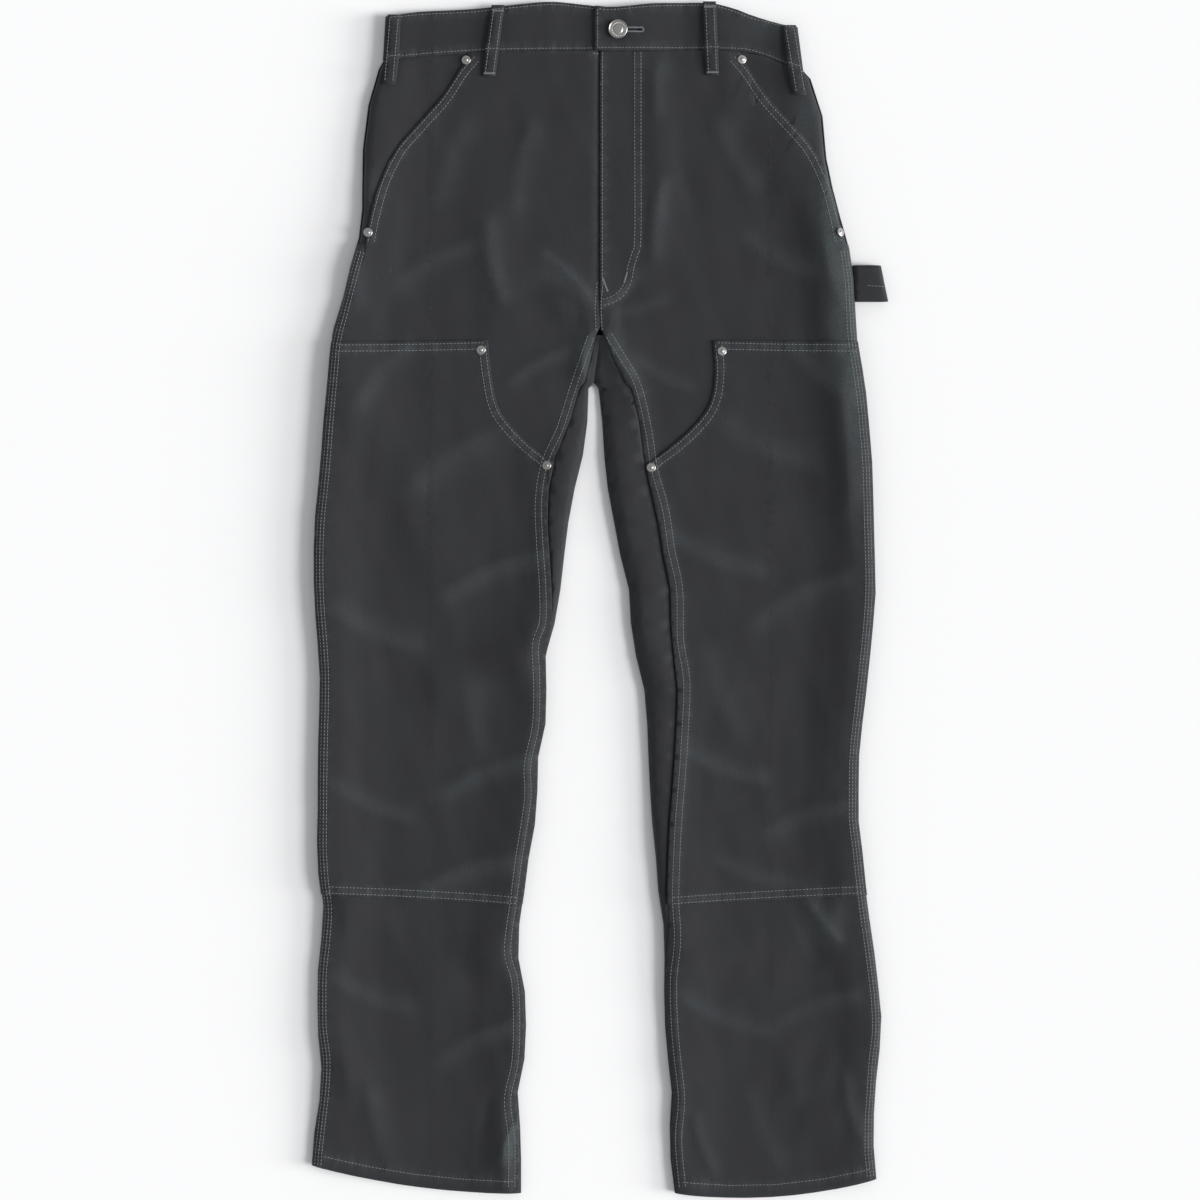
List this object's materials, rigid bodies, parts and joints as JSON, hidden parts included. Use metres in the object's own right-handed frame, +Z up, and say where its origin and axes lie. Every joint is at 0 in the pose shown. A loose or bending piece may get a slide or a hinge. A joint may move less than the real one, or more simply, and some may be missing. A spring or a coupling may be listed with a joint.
{
  "type": "carpenter pants",
  "caption": "Double-front carpenter pants in heavy black duck, laid flat front up, with scoop pockets, knee patches, belt loops and a hammer loop.",
  "frame": {"origin": "middle of the laid garment's outline, on the surface that it lies on", "axes": "+Y towards the waist, +X towards the wearer's left side, +Z up out of the surface"},
  "size_m": [0.5776, 1.1981, 0.022],
  "materials": {
    "duck": "matte heavy duck weave",
    "nickel": "satin nickel"
  },
  "bodies": {
    "root": {"back_left": "duck", "back_right": "duck", "front_left": "duck", "front_right": "duck", "pocket_facing_left": "duck", "pocket_facing_right": "duck", "knee_patch_left": "duck", "knee_patch_right": "duck", "waistband_left": "duck", "waistband_right": "duck", "belt_loop_front_left": "duck", "belt_loop_front_right": "duck", "belt_loop_side_left": "duck", "belt_loop_side_right": "duck", "hammer_loop": "duck", "rivet_pocket_top_left": "nickel", "rivet_pocket_side_left": "nickel", "rivet_patch_top_left": "nickel", "rivet_patch_inner_left": "nickel", "rivet_pocket_top_right": "nickel", "rivet_pocket_side_right": "nickel", "rivet_patch_top_right": "nickel", "rivet_patch_inner_right": "nickel", "waist_button": "nickel"}
  },
  "joints": []
}
